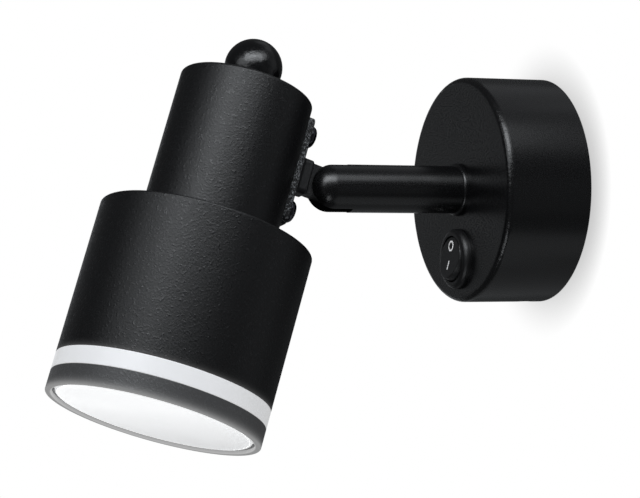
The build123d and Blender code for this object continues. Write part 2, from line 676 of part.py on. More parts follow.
def keyhole():
    """Curved way of one pin: a narrow slot in the lip, a wide one behind it and a round entry."""
    lip_top = holder_low + HOLDER_LIP_T
    high = pin_top + ROOM
    neck_w = PIN_D + 2 * ROOM
    head_w = PIN_HEAD_D + 2 * ROOM
    at_pin = Pos(PIN_PITCH / 2, 0, 0)
    cut = at_pin * rod(neck_w, holder_low, high) + at_pin * rod(head_w, lip_top, high)
    for width, low in ((neck_w, holder_low), (head_w, lip_top)):
        section = Pos(PIN_PITCH / 2, (low + high) / 2) * Rectangle(width, high - low)
        cut += revolve(Plane.XZ * section, Axis.Z, KEYHOLE_TURN)
    return cut + Rot(0, 0, KEYHOLE_TURN) * at_pin * rod(head_w, holder_low, high)


screw_seat = holder_low + HOLDER_H / 2


def holder_screw_places():
    return [Pos(0, side * HOLDER_SCREW_PITCH / 2, 0) for side in (1, -1)]


def make_lamp_holder():
    """Moulded holder: two keyholes for the pins, a well for the hub of the lamp, two screw wells."""
    holder = rod(2 * (drum_in_r - HOLDER_ROOM), holder_low, holder_top)
    holder = fillet(rim_at(holder), HOLDER_EDGE_R)
    holder -= rod(LAMP_HUB_D + 2 * WELL_ROOM, holder_low, lamp_back + LAMP_HUB_H + LAMP_ROOM)
    holder -= rod(ROD_NUT_AF + 2 * WELL_ROOM, holder_low, holder_top)
    holder -= [Rot(0, 0, turn) * keyhole() for turn in (0, 180)]
    well = rod(HOLDER_SCREW_D + 2 * SLIP, holder_low, holder_top)
    well += rod(HOLDER_SCREW_HEAD_D + 2 * ROOM, holder_low, screw_seat)
    return holder - [place * well for place in holder_screw_places()]


def make_holder_screws():
    low = screw_seat - HOLDER_SCREW_HEAD_H
    head = slotted(rod(HOLDER_SCREW_HEAD_D, low, screw_seat), HOLDER_SCREW_HEAD_D, low)
    screw = head + rod(HOLDER_SCREW_D, screw_seat, bridge_top + HOLDER_SCREW_OUT)
    return group(place * screw for place in holder_screw_places())


def make_lamp_body():
    """Flat disc lamp: rounded rim, sloping shoulder and a hub between the pins."""
    rim_r = LAMP_D / 2
    window_r = DIFFUSER_D / 2 + SLIP
    shoulder = lamp_face + LAMP_RIM_H
    hub_top = lamp_back + LAMP_HUB_H
    body = turned((0, lamp_face + DIFFUSER_T), (window_r, lamp_face + DIFFUSER_T),
                  (window_r, lamp_face), (rim_r, lamp_face), (rim_r, shoulder),
                  (lamp_back_r, lamp_back), (LAMP_HUB_D / 2, lamp_back),
                  (LAMP_HUB_D / 2, hub_top), (0, hub_top))
    return fillet(rim_at(body, highest=False), LAMP_EDGE_R)


def make_lamp_diffuser():
    """Milky disc with a slight crown."""
    crown_r = ((DIFFUSER_D / 2) ** 2 + DIFFUSER_CROWN ** 2) / (2 * DIFFUSER_CROWN)
    low = lamp_face - DIFFUSER_CROWN
    return rod(DIFFUSER_D, low, lamp_face + DIFFUSER_T) & Pos(0, 0, low + crown_r) * Sphere(crown_r)


def make_lamp_pins():
    pin = rod(PIN_D, lamp_back, lamp_back + PIN_NECK) + rod(PIN_HEAD_D, lamp_back + PIN_NECK, pin_top)
    return group(Pos(side * PIN_PITCH / 2, 0, 0) * pin for side in (1, -1))


PIECES = {
    "base_cup": FROM_WALL * make_base_cup(),
    "wall_strap": FROM_WALL * make_wall_strap(),
    "strap_screws": FROM_WALL * make_strap_screws(),
    "cable_grommet": FROM_WALL * make_cable_grommet(),
    "terminal_block": FROM_WALL * make_terminal_block(),
    "clamp_screws": FROM_WALL * make_clamp_screws(),
    "block_screw": FROM_WALL * make_block_screw(),
    "earth_screw": FROM_WALL * make_earth_screw(),
    "earth_washer": FROM_WALL * make_earth_washer(),
    "switch_body": AT_SWITCH * make_switch_body(),
    "switch_blades": AT_SWITCH * make_switch_blades(),
    "switch_rocker": AT_SWITCH * make_switch_rocker(),
    "swivel_bush": FROM_WALL * make_swivel_bush(),
    "stop_pin": FROM_WALL * make_stop_pin(),
    "arm_collar": ON_ARM * make_arm_collar(),
    "arm_nipple": ON_ARM * make_arm_nipple(),
    "stop_washer": ON_ARM * make_stop_washer(),
    "spring_washer": ON_ARM * make_spring_washer(),
    "lock_nut": ON_ARM * make_lock_nut(),
    "arm_bar": ON_ARM * make_arm_bar(),
    "pivot_screw": ON_ARM * make_pivot_screw(),
    "friction_washers": ON_ARM * make_friction_washers(),
    "tilt_bracket": ON_PIVOT * make_tilt_bracket(),
    "bracket_screws": ON_PIVOT * make_bracket_screws(),
    "bracket_nuts": ON_PIVOT * make_bracket_nuts(),
    "head_cup": ON_HEAD * make_head_cup(),
    "ball_finial": ON_HEAD * make_ball_finial(),
    "tie_rod": ON_HEAD * make_tie_rod(),
    "rod_nuts": ON_HEAD * make_rod_nuts(),
    "rod_washer": ON_HEAD * make_rod_washer(),
    "shade_drum": ON_HEAD * make_shade_drum(),
    "acrylic_band": ON_HEAD * make_acrylic_band(),
    "trim_ring": ON_HEAD * make_trim_ring(),
    "holder_bridge": ON_HEAD * make_holder_bridge(),
    "lamp_holder": ON_HEAD * make_lamp_holder(),
    "holder_screws": ON_HEAD * make_holder_screws(),
    "lamp_body": ON_HEAD * make_lamp_body(),
    "lamp_diffuser": ON_HEAD * make_lamp_diffuser(),
    "lamp_pins": ON_HEAD * make_lamp_pins(),
}

os.makedirs("parts", exist_ok=True)
for name, piece in PIECES.items():
    export_step(piece, f"parts/{name}.step")
print(len(PIECES), "nodes; the pivot is", round(pivot_z, 2), "mm from the wall")
print("the switch is", round(switch_drop, 2), "mm below the arm")
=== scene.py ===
# %% [markdown]
# A black wall reading lamp, dressed for its portrait.
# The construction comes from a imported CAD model, which stays exactly where it is. This lesson adds
# what a camera notices and a machinist does not draw: paint, grain, softened edges, the glow of an
# acrylic band, the printed marks of a switch, and the studio round it. Everything is in metres.

# %% Load the CAD model as a fixed frame
import json
import math

import bmesh
import bpy
import numpy as np
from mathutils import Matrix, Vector


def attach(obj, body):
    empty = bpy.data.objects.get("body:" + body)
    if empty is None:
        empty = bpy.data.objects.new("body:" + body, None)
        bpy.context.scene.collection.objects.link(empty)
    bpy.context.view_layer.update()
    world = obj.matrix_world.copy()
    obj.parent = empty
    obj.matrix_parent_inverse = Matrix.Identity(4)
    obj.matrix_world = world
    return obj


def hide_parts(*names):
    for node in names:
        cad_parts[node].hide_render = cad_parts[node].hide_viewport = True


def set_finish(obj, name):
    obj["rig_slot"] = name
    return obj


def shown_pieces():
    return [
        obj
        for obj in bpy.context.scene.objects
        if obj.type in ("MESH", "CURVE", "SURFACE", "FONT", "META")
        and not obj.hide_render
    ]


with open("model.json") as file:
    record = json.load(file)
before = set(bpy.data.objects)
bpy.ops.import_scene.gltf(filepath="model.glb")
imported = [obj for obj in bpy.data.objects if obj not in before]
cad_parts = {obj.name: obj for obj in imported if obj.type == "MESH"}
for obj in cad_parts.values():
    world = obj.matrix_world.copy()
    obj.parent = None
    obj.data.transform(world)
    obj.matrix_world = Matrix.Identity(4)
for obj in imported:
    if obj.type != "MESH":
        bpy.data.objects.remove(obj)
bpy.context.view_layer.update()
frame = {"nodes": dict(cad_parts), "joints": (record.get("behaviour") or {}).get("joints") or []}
MM = 0.001

# %% [markdown]
# Every round piece is drawn about its own axis and then set in place, as a turner would think of it.
# The head is swung a little about the arm, and it leans. Its swing is read from the tilt joint, and
# its lean from the tie rod inside it, the one straight bar that shows where the head points.

# %% Find the axis of the head
joints = {joint["name"]: joint for joint in frame["joints"]}


def unit(vector):
    """A vector divided by its own length."""
    return np.asarray(vector, float) / np.linalg.norm(vector)


def points_of(node):
    """All points of a CAD node at rest, one row each."""
    mesh = frame["nodes"][node].data
    flat = np.empty(3 * len(mesh.vertices))
    mesh.vertices.foreach_get("co", flat)
    return flat.reshape(-1, 3)


def stand(origin, across, along):
    """A local frame: its origin and three unit rows, with z running along the given axis."""
    z = unit(along)
    x = unit(across - np.dot(across, z) * z)
    return np.asarray(origin, float), np.stack([x, np.cross(z, x), z])


tilt_joint = joints["head_tilt"]
pivot = np.array(tilt_joint["pos_m"])
arm_across = -unit(tilt_joint["axis"])
rod_points = points_of("tie_rod")
rod_middle = (rod_points.min(axis=0) + rod_points.max(axis=0)) / 2
rod_line = np.linalg.svd(rod_points - rod_points.mean(axis=0), full_matrices=False)[2][0]
head_up = rod_line * np.sign(rod_line[2])
head_origin = rod_middle + np.dot(pivot - rod_middle, head_up) * head_up

HEAD = stand(head_origin, arm_across, head_up)
lean = math.degrees(math.acos(head_up[2]))
print("head leans", round(lean, 1), "degrees, origin", np.round(head_origin / MM, 1))

# %% [markdown]
# New pieces have to be exactly as large as the CAD pieces that they stand for. So their sizes are not typed
# in again: each one is measured on the CAD node, along the axis of the head and out from it.

# %% Measure the round pieces of the head
def to_local(points, place):
    """Coordinates in a local frame: the dot products of the offset from its origin with its rows."""
    return (points - place[0]) @ place[1].T


def measure(node, place):
    """Lowest and highest level along the axis, and the largest radius about it."""
    local = to_local(points_of(node), place)
    return local[:, 2].min(), local[:, 2].max(), np.hypot(local[:, 0], local[:, 1]).max()


cup_low, cup_top, cup_r = measure("head_cup", HEAD)
drum_low, _, drum_r = measure("shade_drum", HEAD)
lip_low, lip_top, _ = measure("acrylic_band", HEAD)
ring_low, ring_top, ring_r = measure("trim_ring", HEAD)
_, ball_top, ball_r = measure("ball_finial", HEAD)
for label, size in (("cup", cup_r), ("drum", drum_r), ("ball", ball_r)):
    print(label, "diameter", round(2 * size / MM, 1), "mm")

# %% [markdown]
# Most of this lamp is turned or drawn sheet metal, so most new pieces are one profile carried round
# an axis. A profile is a list of corners, each with its own small radius, because no real edge
# is perfectly sharp: the thin bright line along a painted edge is what tells the eye how
# thick the paint lies. Two extra points guard every arc, so that shading stays flat on the flats.

# %% Profiles with rounded corners
ARC_STEPS = 8
GUARD = 0.12 * MM


def rounded(corners):
    """Profile through (radius, height, corner radius) rows.
    A corner becomes an arc tangent to both its runs: the arc starts r*tan(half the turn) before it."""
    rows = np.array([(*corner, 0.0)[:3] for corner in corners], float)
    spots, radii = rows[:, :2], rows[:, 2]
    pieces = [spots[:1]]
    for k in range(1, len(spots) - 1):
        if radii[k] == 0:
            pieces.append(spots[k:k + 1])
            continue
        into = unit(spots[k] - spots[k - 1])
        out = unit(spots[k + 1] - spots[k])
        turn = math.atan2(into[0] * out[1] - into[1] * out[0], into @ out)
        cut = radii[k] * math.tan(abs(turn) / 2)
        side = math.copysign(1.0, turn) * np.array([-into[1], into[0]])
        centre = spots[k] - cut * into + radii[k] * side
        angles = np.linspace(0, abs(turn), ARC_STEPS + 1)[:, None]
        arc = centre - radii[k] * (side * np.cos(angles) - into * np.sin(angles))
        pieces += [arc[:1] - GUARD * into, arc, arc[-1:] + GUARD * out]
    pieces.append(spots[-1:])
    return np.concatenate(pieces)


# %% [markdown]
# A profile becomes a surface when it is carried round its axis. A Screw modifier could do that, but a grid
# of points is worked out at once and lands at its place in the head. The points at a pole coincide,
# so they are merged, and then all faces are turned outwards. Edges that turn by more than the sharp
# angle stay crisp, and all others are shaded smooth.

# %% The lathe
TURN_STEPS = 288
MERGE = 0.0005 * MM
SHARP_ANGLE = math.radians(32)


def skin(name, grid, slot, body, closed_rows=True):
    """Mesh of a grid of points (rows, columns, 3): neighbours in the grid are joined by four-sided faces,
    the last column meets the first, and points that coincide, as at a pole, are merged."""
    rows, columns, _ = grid.shape
    index = np.arange(rows * columns).reshape(rows, columns)
    below = index if closed_rows else index[:-1]
    above = np.roll(index, -1, axis=0) if closed_rows else index[1:]
    quads = np.stack([below, np.roll(below, -1, axis=1), np.roll(above, -1, axis=1), above], axis=-1)
    mesh = bpy.data.meshes.new(name)
    mesh.from_pydata(grid.reshape(-1, 3).tolist(), [], quads.reshape(-1, 4).tolist())
    work = bmesh.new()
    work.from_mesh(mesh)
    bmesh.ops.remove_doubles(work, verts=work.verts, dist=MERGE)
    bmesh.ops.dissolve_degenerate(work, edges=work.edges, dist=MERGE)
    bmesh.ops.recalc_face_normals(work, faces=work.faces)
    work.to_mesh(mesh)
    work.free()
    mesh.shade_smooth()
    mesh.set_sharp_from_angle(angle=SHARP_ANGLE)
    piece = bpy.data.objects.new(name, mesh)
    bpy.context.scene.collection.objects.link(piece)
    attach(piece, body)
    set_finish(piece, slot)
    print(name, len(mesh.polygons), "faces on body", body)
    return piece


def to_world(points, place):
    """The other way round: the origin of the local frame plus its rows, each times a coordinate."""
    return points @ place[1] + place[0]


def lathe(name, corners, place, slot, body, ring=False):
    """A profile carried round the axis: the point at angle a is (r cos a, r sin a, height).
    A ring's profile comes back to its start, and any other profile starts and ends on the axis."""
    if ring:
        middle = (np.array(corners[0][:2]) + np.array(corners[-1][:2])) / 2
        corners = [(*middle, 0.0), *corners, (*middle, 0.0)]
    profile = rounded(corners)
    angle = np.linspace(0, 2 * math.pi, TURN_STEPS, endpoint=False)
    radius, height = profile[:, :1], profile[:, 1:]
    local = np.stack([radius * np.cos(angle), radius * np.sin(angle),
                      np.broadcast_to(height, (len(profile), TURN_STEPS))], axis=-1)
    return skin(name, to_world(local, place), slot, body, closed_rows=False)


# %% [markdown]
# The head is two deep-drawn cans, a narrow one standing on a wide one. Each is a profile with an inner
# wall, so that it has the thickness of real sheet where an edge shows. The upper edges are rolled
# wider than the cut lower ones, and that wider roll gives the fine light line on the drum.

# %% The cup and the drum of the head
SHEET = 1.5 * MM
CUP_ROLL = 1.2 * MM
DRUM_ROLL = 0.8 * MM
CUT_EDGE = 0.3 * MM
RIM_H = 2.0 * MM
RIM_ROOM = 0.1 * MM

cup_in_r = cup_r - SHEET
head_cup = lathe("cup_shell", [
    (0, cup_top), (cup_r, cup_top, CUP_ROLL), (cup_r, cup_low, CUT_EDGE),
    (cup_in_r, cup_low, CUT_EDGE), (cup_in_r, cup_top - SHEET, CUT_EDGE), (0, cup_top - SHEET),
], HEAD, "textured_black", "head")
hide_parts("head_cup")

drum_in_r = drum_r - SHEET
rim_r = cup_in_r - RIM_ROOM
shade_drum = lathe("drum_shell", [
    (0, cup_low), (rim_r - SHEET, cup_low), (rim_r - SHEET, cup_low + RIM_H),
    (rim_r, cup_low + RIM_H), (rim_r, cup_low), (drum_r, cup_low, DRUM_ROLL),
    (drum_r, drum_low, CUT_EDGE), (drum_in_r, drum_low, CUT_EDGE),
    (drum_in_r, cup_low - SHEET, CUT_EDGE), (0, cup_low - SHEET),
], HEAD, "textured_black", "head")
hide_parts("shade_drum")

# %% [markdown]
# Under the drum a band of milky acrylic lets the lamp glow sideways, and a grey trim ring closes the
# head. The band has a thin lip up and down that hides inside its neighbours. Its outer corners are
# eased by a quarter of a millimetre, so a hairline of shade marks both seams, as in any
# assembled lamp. The ring turns in under the lamp, and that rim is its widest visible edge.

# %% The acrylic band and the trim ring
BAND_LIP = 0.9 * MM
BAND_SLIP = 0.1 * MM
BAND_EDGE = 0.25 * MM
RING_EDGE = 0.55 * MM
RING_RIM_W = 2.4 * MM
RING_RIM_T = 1.5 * MM

lip_r = drum_in_r - BAND_SLIP
band_in_r = lip_r - BAND_LIP
acrylic_band = lathe("glow_band", [
    (band_in_r, lip_low), (lip_r, lip_low), (lip_r, ring_top), (drum_r, ring_top, BAND_EDGE),
    (drum_r, drum_low, BAND_EDGE), (lip_r, drum_low), (lip_r, lip_top), (band_in_r, lip_top),
], HEAD, "milky_acrylic", "head", ring=True)
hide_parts("acrylic_band")

trim_ring = lathe("trim_hoop", [
    (ring_r - RING_RIM_W, ring_low + RING_RIM_T, CUT_EDGE), (ring_r - RING_RIM_W, ring_low, CUT_EDGE),
    (ring_r, ring_low, RING_EDGE), (ring_r, ring_top, CUT_EDGE), (drum_in_r, ring_top, CUT_EDGE),
    (drum_in_r, ring_low + RING_RIM_T),
], HEAD, "ring_grey", "head", ring=True)
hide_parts("trim_ring")

# %% [markdown]
# The ball nut on top is a sphere with a flat. A ball could be a ready-made primitive, but a lathe
# profile keeps its pole on the axis of the head and ends in the flat that stands on the cup.

# %% The ball nut
BALL_STEPS = 64
ball_z = ball_top - ball_r
flat_angle = math.acos((cup_top - ball_z) / ball_r)
sweep = np.linspace(0, flat_angle, BALL_STEPS)
ball_arc = np.stack([ball_r * np.sin(sweep), ball_z + ball_r * np.cos(sweep)], axis=-1)
ball = lathe("ball_nut", [*ball_arc.tolist(), (0, cup_top)], HEAD, "satin_black", "head")
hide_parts("ball_finial")

# %% [markdown]
# The switch rocker is a ball that has been cut by two shallow slopes meeting in a valley. Seen from its
# own centre it is a radius that depends on direction, so one formula gives the whole piece: the
# least of the ball's radius and the distances to the slopes and to the underside. A power mean
# instead of a plain least rounds the edges where they meet, as moulding does.

# %% The rocker of the switch
ROCKER_R = 8.8 * MM
ROCKER_CENTRE_H = 2.8 * MM
ROCKER_DEPTH = 3.5 * MM
ROCKER_SLOPE = math.tan(math.radians(4.1))
ROCKER_SHARPNESS = 48.0
ROCKER_ROWS = 200
ROCKER_COLUMNS = 256
OUT_OF_WALL = np.array([0.0, -1.0, 0.0])

rock_joint = joints["switch_rock"]
rest_turn = math.radians(rock_joint["range_deg"][1] / 2)
rocker_up = math.cos(rest_turn) * OUT_OF_WALL + math.sin(rest_turn) * np.array([0.0, 0.0, 1.0])
ROCKER = stand(rock_joint["pos_m"], np.array([1.0, 0.0, 0.0]), rocker_up)


def rocker_grid():
    """Radius towards a direction: R * (1 + slopes^p + underside^p)^(-1/p). The terms slopes and underside are
    R over the distance to that plane, so the nearest of ball, slopes and underside wins."""
    polar = np.linspace(0, math.pi, ROCKER_ROWS)[:, None]
    azimuth = np.linspace(0, 2 * math.pi, ROCKER_COLUMNS, endpoint=False)[None, :]
    direction = np.stack([np.sin(polar) * np.cos(azimuth), np.sin(polar) * np.sin(azimuth),
                          np.broadcast_to(np.cos(polar), (ROCKER_ROWS, ROCKER_COLUMNS))], axis=-1)
    rise = direction[..., 2] - ROCKER_SLOPE * np.abs(direction[..., 1])
    slopes = ROCKER_R * np.maximum(rise, 0) / ROCKER_CENTRE_H
    underside = ROCKER_R * np.maximum(-direction[..., 2], 0) / ROCKER_DEPTH
    total = 1 + slopes ** ROCKER_SHARPNESS + underside ** ROCKER_SHARPNESS
    return ROCKER_R * direction * (total ** (-1 / ROCKER_SHARPNESS))[..., None]


rocker = skin("rocker_cap", to_world(rocker_grid(), ROCKER), "switch_black", "rocker", closed_rows=False)
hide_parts("switch_rocker")

# %% [markdown]
# The rocker carries two printed marks, a ring for off and a bar for on. Pad printing lays a film of
# white ink a few hundredths of a millimetre thick. Drawing it in the colour of the material would
# need a picture, so the ink is thin geometry: a flat tube along a circle or along a line,
# lifted onto the slopes of the rocker. It rides on the rocker, so it turns with it.

# %% The printed marks
INK_LIFT = 0.05 * MM
STROKE = 0.62 * MM
MARK_ACROSS = -0.25 * MM
RING_MARK_R = 1.78 * MM
RING_MARK_UP = 4.6 * MM
BAR_MARK_L = 3.7 * MM
BAR_MARK_DOWN = 3.05 * MM
MARK_STEPS = 96
INK_SIDES = 16


def on_slopes(across, up, lift):
    """Lift flat points (across, up) onto the rocker's two slopes: height = centre + slope * |up|."""
    return np.stack([across, up, ROCKER_CENTRE_H + ROCKER_SLOPE * np.abs(up) + lift], axis=-1)


def ink_line(line, normal, width):
    """A flat oval tube along a line: point = line + width/2 * cos(s) * normal, lifted by sin(s)."""
    side = np.linspace(0, 2 * math.pi, INK_SIDES, endpoint=False)[None, :]
    half = width[:, None] / 2 * np.cos(side)
    flat = line[:, None, :] + half[..., None] * normal[:, None, :]
    lift = INK_LIFT * np.sin(side) * (width[:, None] > 0)
    return to_world(on_slopes(flat[..., 0], flat[..., 1], lift), ROCKER)


around = np.linspace(0, 2 * math.pi, MARK_STEPS, endpoint=False)
spokes = np.stack([np.cos(around), np.sin(around)], axis=-1)
ring_line = RING_MARK_R * spokes + np.array([MARK_ACROSS, RING_MARK_UP])
ring_width = np.full(MARK_STEPS, STROKE)
skin("off_mark", ink_line(ring_line, spokes, ring_width), "white_plastic", "rocker")

along = np.linspace(-1, 1, MARK_STEPS)
bar_line = np.stack([np.full(MARK_STEPS, MARK_ACROSS), BAR_MARK_L / 2 * along - BAR_MARK_DOWN], axis=-1)
end_room = (1 - np.abs(along)) * BAR_MARK_L / STROKE
bar_width = STROKE * np.sqrt(1 - np.clip(1 - end_room, 0, 1) ** 2)
bar_normal = np.tile([1.0, 0.0], (MARK_STEPS, 1))
bar_grid = ink_line(bar_line, bar_normal, bar_width)
skin("on_mark", bar_grid, "white_plastic", "rocker", closed_rows=False)

# %% [markdown]
# Now the finishes. Each one starts from the real material and how its surface was made, and each is a
# small network of nodes. Two helpers keep that readable: one gives a node its inputs, the other adds
# a node. Colours are written as sRGB hex values, the way a paint chart lists them, and one
# function turns them to the linear light that a renderer adds up.

# %% Helpers for colours and nodes
def linear(code):
    """sRGB hex to linear light: c / 12.92 when dark, else ((c + 0.055) / 1.055) to the power 2.4."""
    srgb = np.array([int(code[k:k + 2], 16) for k in (1, 3, 5)]) / 255
    light = np.where(srgb <= 0.04045, srgb / 12.92, ((srgb + 0.055) / 1.055) ** 2.4)
    return (*light.tolist(), 1.0)


def feed(node, inputs):
    """Give a node its inputs: another node's output is linked, anything else is set as a value."""
    for name, value in inputs.items():
        if isinstance(value, bpy.types.NodeSocket):
            node.id_data.links.new(value, node.inputs[name])
        else:
            node.inputs[name].default_value = value


def add(tree, kind, inputs, **settings):
    """Add one node with its settings, and feed it."""
    node = tree.nodes.new(kind)
    for name, value in settings.items():
        setattr(node, name, value)
    feed(node, inputs)
    return node


def start(name):
    """A new material: its node tree, its shader, and the place of a point in Object coordinates."""
    material = bpy.data.materials.new(name)
    material.use_nodes = True
    tree = material.node_tree
    place = add(tree, "ShaderNodeTexCoord", {}).outputs["Object"]
    return material, tree, tree.nodes["Principled BSDF"], place


# %% [markdown]
# The base, the arm and the ball are sprayed with satin black enamel. Sprayed paint is never a mirror:
# droplets level out into a very shallow ripple, called orange peel, and fine dust dulls it here
# and there. So the network has a ripple about two millimetres wide in the bump, and a finer
# speckle that moves the roughness up and down a little. The ball, which is held to tighten it,
# is rubbed glossier. On the rounded front edge of the base the paint has dried uneven, so there the
# light line is broken. Distance from the wall plus distance from the axis is largest on that edge.

# %% Satin black enamel
NOISE_LOW = 0.3
NOISE_HIGH = 0.7
PEEL = 1.8 * MM
DUST = 0.45 * MM
EDGE_LUMP = 1.5 * MM
EDGE_LUMP_HEIGHT = 0.16 * MM
EDGE_BAND = 0.9 * MM
ACROSS_WALL = (1.0, 0.0, 1.0)
base_points = points_of("base_cup")
edge_level = (base_points @ OUT_OF_WALL + np.hypot(base_points[:, 0], base_points[:, 2])).max()


def edge_lumps(tree, place, normal):
    """Lumps where the distance out of the wall plus the radius comes near its largest value."""
    flat = add(tree, "ShaderNodeVectorMath", {0: place, 1: ACROSS_WALL}, operation="MULTIPLY")
    radius = add(tree, "ShaderNodeVectorMath", {0: flat.outputs["Vector"]}, operation="LENGTH")
    out = add(tree, "ShaderNodeVectorMath", {0: place, 1: OUT_OF_WALL}, operation="DOT_PRODUCT")
    level = add(tree, "ShaderNodeMath", {0: radius.outputs["Value"], 1: out.outputs["Value"]},
                operation="ADD")
    near = add(tree, "ShaderNodeMapRange", {"Value": level.outputs["Value"],
                                            "From Min": edge_level - EDGE_BAND, "From Max": edge_level})
    lumps = add(tree, "ShaderNodeTexNoise", {"Vector": place, "Scale": 1 / EDGE_LUMP})
    height = add(tree, "ShaderNodeMath", {0: lumps.outputs["Fac"], 1: near.outputs["Result"]},
                 operation="MULTIPLY")
    return add(tree, "ShaderNodeBump", {"Height": height.outputs["Value"], "Distance": EDGE_LUMP_HEIGHT,
                                        "Normal": normal}).outputs["Normal"]


def satin_enamel(name, smooth, dull, peel_height, dust_height, uneven_edge=False):
    """Sprayed satin enamel: a dark body colour under a soft gloss, with orange peel and dust."""
    material, tree, shader, place = start(name)
    peel = add(tree, "ShaderNodeTexNoise", {"Vector": place, "Scale": 1 / PEEL, "Detail": 1.0})
    dust = add(tree, "ShaderNodeTexNoise", {"Vector": place, "Scale": 1 / DUST, "Detail": 2.0})
    rough = add(tree, "ShaderNodeMapRange", {"Value": dust.outputs["Fac"], "From Min": NOISE_LOW,
                                             "From Max": NOISE_HIGH, "To Min": smooth, "To Max": dull})
    ripple = add(tree, "ShaderNodeBump", {"Height": peel.outputs["Fac"], "Distance": peel_height})
    normal = add(tree, "ShaderNodeBump", {"Height": dust.outputs["Fac"], "Distance": dust_height,
                                          "Normal": ripple.outputs["Normal"]}).outputs["Normal"]
    if uneven_edge:
        normal = edge_lumps(tree, place, normal)
    feed(shader, {"Base Color": linear("#0b0b0c"), "Roughness": rough.outputs["Result"], "Normal": normal})
    return material


# %% [markdown]
# The lit lamp spills light on the painted edges next to it: on the lower edge of the drum, above the band,
# and on the ring round the lamp. A renderer could trace that light, but then every render would need
# many more samples to stay clean. So the paint there glows a little by itself instead. One glow
# fades with the level along the head, the other with the distance from its axis.

# %% Light that is spilt on the paint
FADE_POWER = 6.0


def fading_glow(tree, place, low, reach, faint, bright):
    """Light that leaks from a lit edge: bright at a level of the head, fading to faint over the reach.
    The level of a point is its dot product with the head's axis, and the fade is a power of it."""
    level = add(tree, "ShaderNodeVectorMath", {0: place, 1: head_up}, operation="DOT_PRODUCT")
    start_level = low + head_origin @ head_up
    near = add(tree, "ShaderNodeMapRange", {"Value": level.outputs["Value"],
                                            "From Min": start_level + reach, "From Max": start_level})
    fade = add(tree, "ShaderNodeMath", {0: near.outputs["Result"], 1: FADE_POWER}, operation="POWER")
    return add(tree, "ShaderNodeMapRange", {"Value": fade.outputs["Value"], "To Min": faint,
                                            "To Max": bright}).outputs["Result"]


def inner_glow(tree, place, wall_r, reach, bright):
    """Light on a wall that looks at the lamp: bright up to a radius about the head's axis, gone past
    the reach. The radius is the distance of a point from the nearest point of the axis."""
    offset = add(tree, "ShaderNodeVectorMath", {0: place, 1: head_origin}, operation="SUBTRACT")
    along = add(tree, "ShaderNodeVectorMath", {0: offset.outputs["Vector"], 1: head_up},
                operation="DOT_PRODUCT")
    nearest = add(tree, "ShaderNodeVectorMath", {0: head_up, "Scale": along.outputs["Value"]},
                  operation="SCALE")
    radius = add(tree, "ShaderNodeVectorMath", {0: offset.outputs["Vector"], 1: nearest.outputs["Vector"]},
                 operation="DISTANCE")
    return add(tree, "ShaderNodeMapRange", {"Value": radius.outputs["Value"], "From Min": wall_r + reach,
                                            "From Max": wall_r, "To Max": bright}).outputs["Result"]


# %% [markdown]
# The head wears a textured powder coat, which cures into tiny hills. Each hill scatters light its own
# way, so the surface looks matt with a faint sparkle. Real hills are about 0.3 mm wide, finer than
# a pixel here, so they are drawn about twice as wide to show at all, and the sparse grains among
# them, which cure smoother and sparkle, are wider still. The grey paint of the ring is the same coat.

# %% Textured powder coat
HILL = 0.75 * MM
HILL_HEIGHT = 0.09 * MM
GRAIN = 1.1 * MM
GRAIN_HEIGHT = 0.038 * MM
GRAIN_START = 0.54
GRAIN_FULL = 0.70
HILL_ROUGH = 0.42
GRAIN_ROUGH = 0.26
COAT_SPECULAR = 0.34


def powder_coat(name, dark, light, lit_edge=None, lit_wall=None):
    """Textured powder coat: fine hills everywhere, and sparse grains that are paler and smoother.
    A lit edge is given by its level, the reach of its light, and the faintest and brightest glow,
    and a lit wall by its radius, the reach of its light, and its glow."""
    material, tree, shader, place = start(name)
    hills = add(tree, "ShaderNodeTexNoise", {"Vector": place, "Scale": 1 / HILL})
    spots = add(tree, "ShaderNodeTexNoise", {"Vector": place, "Scale": 1 / GRAIN})
    grains = add(tree, "ShaderNodeMapRange", {"Value": spots.outputs["Fac"], "From Min": GRAIN_START,
                                              "From Max": GRAIN_FULL})
    colour = add(tree, "ShaderNodeMix", {"Factor": grains.outputs["Result"], "A": linear(dark),
                                         "B": linear(light)}, data_type="RGBA")
    rough = add(tree, "ShaderNodeMapRange", {"Value": grains.outputs["Result"], "To Min": HILL_ROUGH,
                                             "To Max": GRAIN_ROUGH})
    bump = add(tree, "ShaderNodeBump", {"Height": hills.outputs["Fac"], "Distance": HILL_HEIGHT})
    lumps = add(tree, "ShaderNodeBump", {"Height": grains.outputs["Result"], "Distance": GRAIN_HEIGHT,
                                         "Normal": bump.outputs["Normal"]})
    feed(shader, {"Base Color": colour.outputs["Result"], "Roughness": rough.outputs["Result"],
                  "Specular IOR Level": COAT_SPECULAR, "Normal": lumps.outputs["Normal"]})
    if lit_edge:
        shine = fading_glow(tree, place, *lit_edge)
        if lit_wall:
            more = inner_glow(tree, place, *lit_wall)
            shine = add(tree, "ShaderNodeMath", {0: shine, 1: more}, operation="ADD").outputs["Value"]
        feed(shader, {"Emission Color": linear("#ffffff"), "Emission Strength": shine})
    return material


# %% [markdown]
# The bracket is a casting under the same paint. Its strip was trimmed in a press, and the torn edge is
# coarse, so it is bumped, and its glints are painted on it as pale specks, a painted highlight. The
# specks belong to the edge next to the cup only, so a mask counts how far a point lies behind the head's
# axis.

# %% Painted casting with a torn edge
HEAD_BACK = HEAD[1][1]
SPECK = 0.75 * MM
SPECK_START = 0.50
SPECK_FULL = 0.62
CAST_SMOOTH = 0.36
CAST_DULL = 0.52
CAST_WAVE = 1.6 * MM
CAST_HEIGHT = 0.12 * MM
TEAR_HEIGHT = 0.10 * MM
EDGE_NEAR = 1.3 * MM
EDGE_FAR = 2.0 * MM


